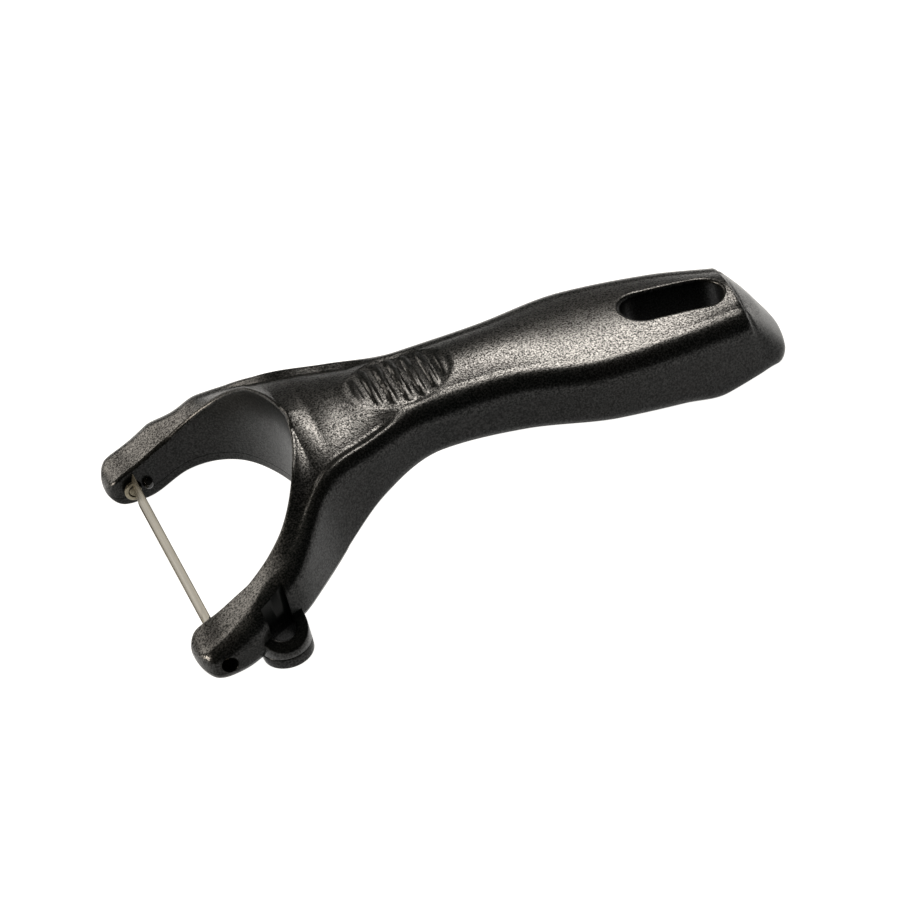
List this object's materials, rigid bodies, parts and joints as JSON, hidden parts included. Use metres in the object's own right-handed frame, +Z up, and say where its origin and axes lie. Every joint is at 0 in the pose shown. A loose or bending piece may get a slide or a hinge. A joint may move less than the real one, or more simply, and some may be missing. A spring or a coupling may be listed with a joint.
{
  "type": "y-shaped vegetable peeler",
  "caption": "Y-shaped moulded handle with a swivelling slotted strip blade across its fork, an eye-remover loop outside each arm, a ribbed thumb dish and a hang hole.",
  "frame": {"origin": "on the table under the middle of the part's footprint: halfway from the arms' noses to the tail, on the mirror plane", "axes": "+X from the blade towards the tail, +Z up with the part lying on a table, +Y to the left arm; the blade swivels about Y"},
  "size_m": [0.1156, 0.0676, 0.0243],
  "materials": {
    "handle_plastic": "fine spark-eroded texture on top, smoother sides",
    "peg_plastic": "polished",
    "blade_steel": "satin, ground along the strip"
  },
  "bodies": {
    "handle": {"handle_shell": "handle_plastic", "handle_base": "handle_plastic", "pivot_pin_left": "blade_steel", "pivot_pin_right": "blade_steel", "stop_peg_left": "peg_plastic", "stop_peg_right": "peg_plastic"},
    "blade": {"swivel_blade": "blade_steel"}
  },
  "joints": [
    {"name": "blade_swivel", "type": "hinge", "parent": "handle", "child": "blade", "pos_m": [-0.05325, 0, 0.0038], "axis": [0, 1, 0], "range_deg": [-55, 55]}
  ]
}
